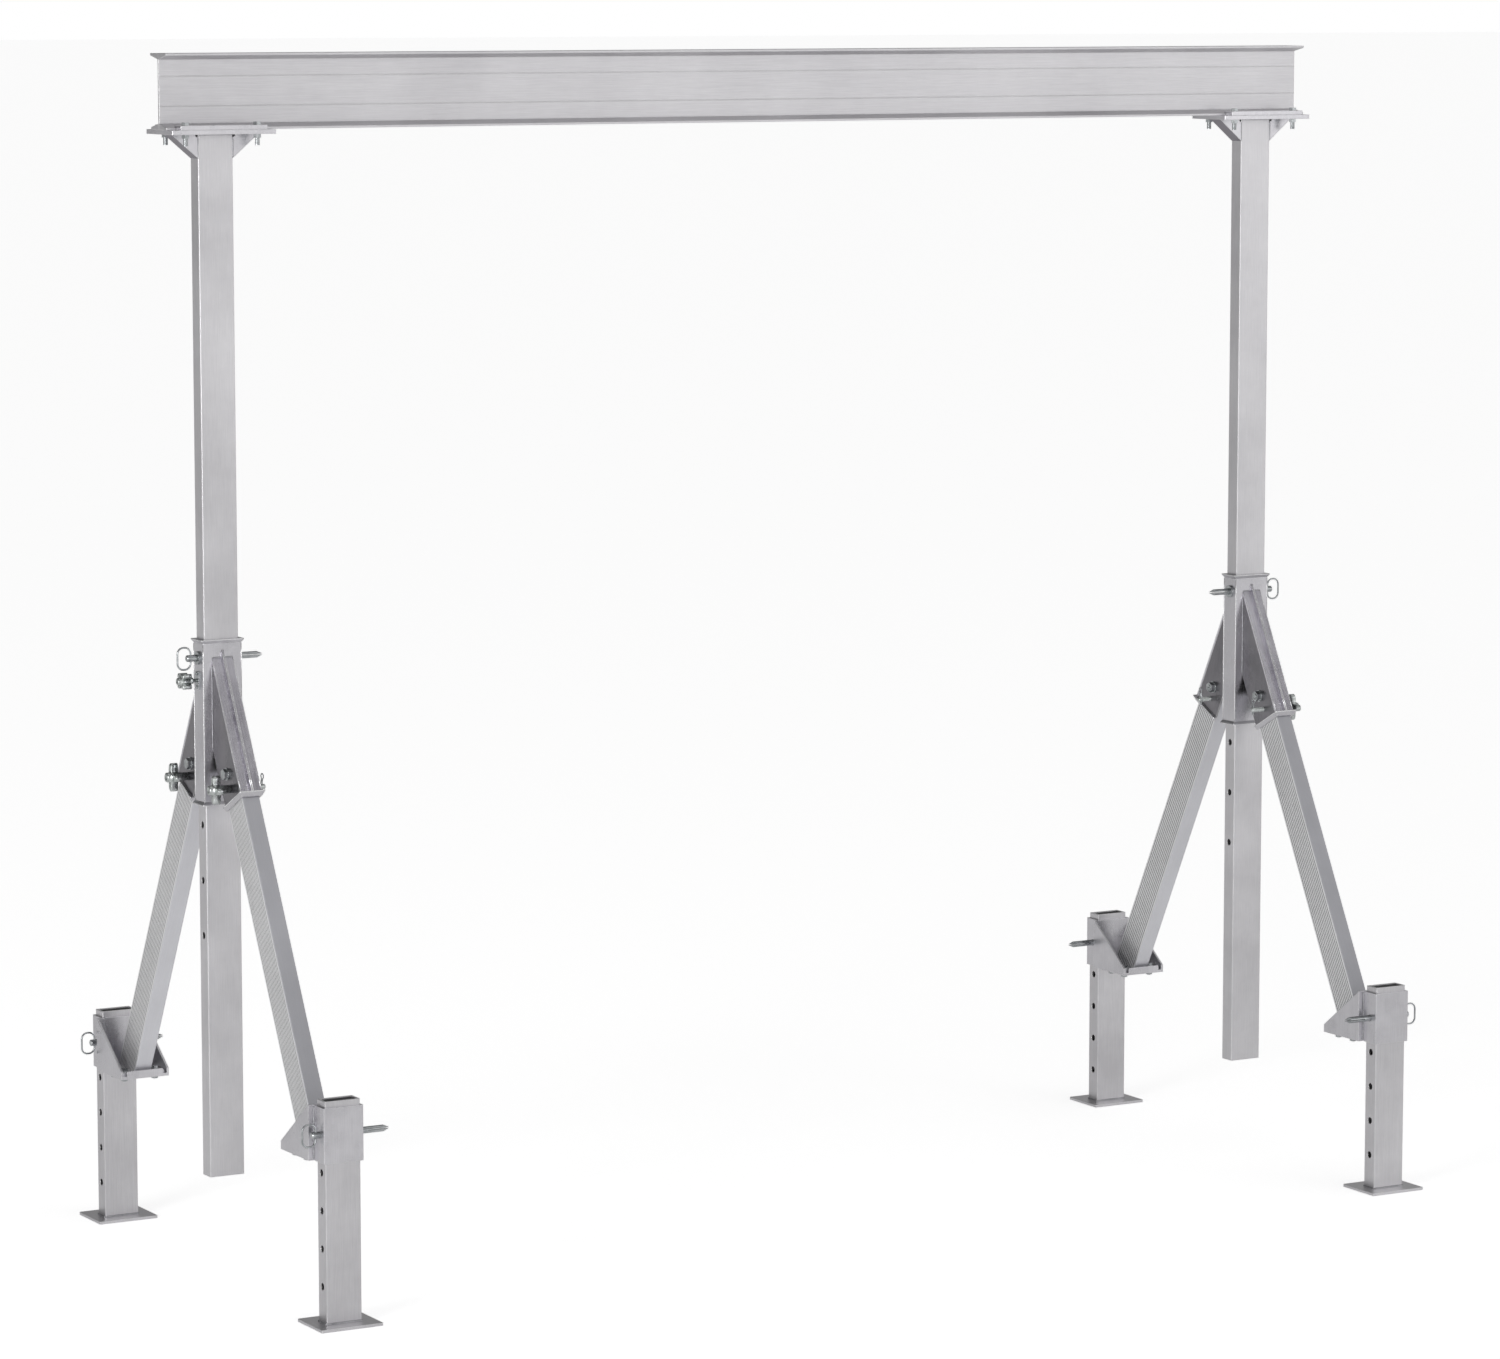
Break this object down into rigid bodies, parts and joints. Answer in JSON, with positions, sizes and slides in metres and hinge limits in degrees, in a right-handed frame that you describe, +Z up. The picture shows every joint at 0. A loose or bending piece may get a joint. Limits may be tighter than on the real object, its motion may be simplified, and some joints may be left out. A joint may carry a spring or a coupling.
{
  "type": "portable gantry crane",
  "caption": "Portable aluminium gantry crane: an I-beam on height-adjustable masts, each with folding legs, pinned jack feet and pull-ring pins.",
  "frame": {"origin": "on the floor, below the middle of the beam and midway between the feet", "axes": "+X along the beam, +Y towards the rear legs, +Z up"},
  "size_m": [3.62, 1.607, 3.268],
  "materials": {
    "beam_aluminium": "satin, mill finish with fine lengthwise lines",
    "tube_aluminium": "satin extruded tube",
    "ribbed_aluminium": "extruded, fine lengthwise ribs",
    "plate_aluminium": "brushed sheet and plate",
    "liner_aluminium": "dull formed rim",
    "zinc": "bright zinc plated steel",
    "knob_zinc": "dull, slightly greenish zinc plated casting",
    "black_plastic": "matt"
  },
  "bodies": {
    "beam": {"beam": "beam_aluminium"},
    "left_mast": {"left_post": "tube_aluminium", "left_top_plate": "plate_aluminium", "left_braces": "plate_aluminium", "left_clamp_bars": "plate_aluminium", "left_beam_bolts": "zinc"},
    "left_head": {"left_head_sleeve": "plate_aluminium", "left_head_cheeks": "plate_aluminium", "left_head_covers": "plate_aluminium", "left_head_collars": "plate_aluminium", "left_head_liners": "liner_aluminium", "left_pin_bosses": "zinc", "left_hinge_bolts": "zinc"},
    "left_height_pin": {"left_mast_pin": "zinc"},
    "left_front_leg_set": {"left_front_leg": "ribbed_aluminium", "left_front_bracket": "plate_aluminium", "left_front_bolts": "zinc"},
    "left_front_foot_set": {"left_front_foot": "tube_aluminium", "left_front_cap": "black_plastic"},
    "left_front_pull_pin": {"left_front_foot_pin": "zinc"},
    "left_front_lock": {"left_front_knob": "knob_zinc", "left_front_clip": "zinc"},
    "left_rear_leg_set": {"left_rear_leg": "ribbed_aluminium", "left_rear_bracket": "plate_aluminium", "left_rear_bolts": "zinc"},
    "left_rear_foot_set": {"left_rear_foot": "tube_aluminium", "left_rear_cap": "black_plastic"},
    "left_rear_pull_pin": {"left_rear_foot_pin": "zinc"},
    "left_rear_lock": {"left_rear_knob": "knob_zinc", "left_rear_clip": "zinc"},
    "right_mast": {"right_post": "tube_aluminium", "right_top_plate": "plate_aluminium", "right_braces": "plate_aluminium", "right_clamp_bars": "plate_aluminium", "right_beam_bolts": "zinc"},
    "right_head": {"right_head_sleeve": "plate_aluminium", "right_head_cheeks": "plate_aluminium", "right_head_covers": "plate_aluminium", "right_head_collars": "plate_aluminium", "right_head_liners": "liner_aluminium", "right_pin_bosses": "zinc", "right_hinge_bolts": "zinc"},
    "right_height_pin": {"right_mast_pin": "zinc"},
    "right_front_leg_set": {"right_front_leg": "ribbed_aluminium", "right_front_bracket": "plate_aluminium", "right_front_bolts": "zinc"},
    "right_front_foot_set": {"right_front_foot": "tube_aluminium", "right_front_cap": "black_plastic"},
    "right_front_pull_pin": {"right_front_foot_pin": "zinc"},
    "right_front_lock": {"right_front_knob": "knob_zinc", "right_front_clip": "zinc"},
    "right_rear_leg_set": {"right_rear_leg": "ribbed_aluminium", "right_rear_bracket": "plate_aluminium", "right_rear_bolts": "zinc"},
    "right_rear_foot_set": {"right_rear_foot": "tube_aluminium", "right_rear_cap": "black_plastic"},
    "right_rear_pull_pin": {"right_rear_foot_pin": "zinc"},
    "right_rear_lock": {"right_rear_knob": "knob_zinc", "right_rear_clip": "zinc"},
    "left_clamp": {"clamp_knob": "knob_zinc"}
  },
  "joints": [
    {"name": "left_mast_slide", "type": "slide", "parent": "beam", "child": "left_mast", "axis": [1, 0, 0], "range_m": [0, 0.9]},
    {"name": "left_head_slide", "type": "slide", "parent": "left_mast", "child": "left_head", "axis": [0, 0, 1], "range_m": [-0.75, 0]},
    {"name": "left_height_pin_pull", "type": "slide", "parent": "left_mast", "child": "left_height_pin", "axis": [-1, 0, 0], "range_m": [0, 0.2]},
    {"name": "left_front_leg_fold", "type": "hinge", "parent": "left_head", "child": "left_front_leg_set", "pos_m": [-1.66, -0.12, 1.366], "axis": [1, 0, 0], "range_deg": [0, 27]},
    {"name": "left_front_foot_slide", "type": "slide", "parent": "left_front_leg_set", "child": "left_front_foot_set", "axis": [0, 0, 1], "range_m": [-0.2, 0.4]},
    {"name": "left_front_foot_pin_pull", "type": "slide", "parent": "left_front_leg_set", "child": "left_front_pull_pin", "axis": [-1, 0, 0], "range_m": [0, 0.2]},
    {"name": "left_front_lock_turn", "type": "hinge", "parent": "left_head", "child": "left_front_lock", "pos_m": [-1.66, -0.13939, 1.32875], "axis": [1, 0, 0], "continuous": true},
    {"name": "left_rear_leg_fold", "type": "hinge", "parent": "left_head", "child": "left_rear_leg_set", "pos_m": [-1.66, 0.12, 1.366], "axis": [-1, 0, 0], "range_deg": [0, 27]},
    {"name": "left_rear_foot_slide", "type": "slide", "parent": "left_rear_leg_set", "child": "left_rear_foot_set", "axis": [0, 0, 1], "range_m": [-0.2, 0.4]},
    {"name": "left_rear_foot_pin_pull", "type": "slide", "parent": "left_rear_leg_set", "child": "left_rear_pull_pin", "axis": [-1, 0, 0], "range_m": [0, 0.2]},
    {"name": "left_rear_lock_turn", "type": "hinge", "parent": "left_head", "child": "left_rear_lock", "pos_m": [-1.66, 0.13939, 1.32875], "axis": [1, 0, 0], "continuous": true},
    {"name": "right_mast_slide", "type": "slide", "parent": "beam", "child": "right_mast", "axis": [-1, 0, 0], "range_m": [0, 0.9]},
    {"name": "right_head_slide", "type": "slide", "parent": "right_mast", "child": "right_head", "axis": [0, 0, 1], "range_m": [-0.75, 0]},
    {"name": "right_height_pin_pull", "type": "slide", "parent": "right_mast", "child": "right_height_pin", "axis": [1, 0, 0], "range_m": [0, 0.2]},
    {"name": "right_front_leg_fold", "type": "hinge", "parent": "right_head", "child": "right_front_leg_set", "pos_m": [1.66, -0.12, 1.366], "axis": [1, 0, 0], "range_deg": [0, 27]},
    {"name": "right_front_foot_slide", "type": "slide", "parent": "right_front_leg_set", "child": "right_front_foot_set", "axis": [0, 0, 1], "range_m": [-0.2, 0.4]},
    {"name": "right_front_foot_pin_pull", "type": "slide", "parent": "right_front_leg_set", "child": "right_front_pull_pin", "axis": [1, 0, 0], "range_m": [0, 0.2]},
    {"name": "right_front_lock_turn", "type": "hinge", "parent": "right_head", "child": "right_front_lock", "pos_m": [1.66, -0.13939, 1.32875], "axis": [1, 0, 0], "continuous": true},
    {"name": "right_rear_leg_fold", "type": "hinge", "parent": "right_head", "child": "right_rear_leg_set", "pos_m": [1.66, 0.12, 1.366], "axis": [-1, 0, 0], "range_deg": [0, 27]},
    {"name": "right_rear_foot_slide", "type": "slide", "parent": "right_rear_leg_set", "child": "right_rear_foot_set", "axis": [0, 0, 1], "range_m": [-0.2, 0.4]},
    {"name": "right_rear_foot_pin_pull", "type": "slide", "parent": "right_rear_leg_set", "child": "right_rear_pull_pin", "axis": [1, 0, 0], "range_m": [0, 0.2]},
    {"name": "right_rear_lock_turn", "type": "hinge", "parent": "right_head", "child": "right_rear_lock", "pos_m": [1.66, 0.13939, 1.32875], "axis": [1, 0, 0], "continuous": true},
    {"name": "left_clamp_turn", "type": "hinge", "parent": "left_head", "child": "left_clamp", "pos_m": [-1.74, 0, 1.606], "axis": [1, 0, 0], "continuous": true}
  ]
}
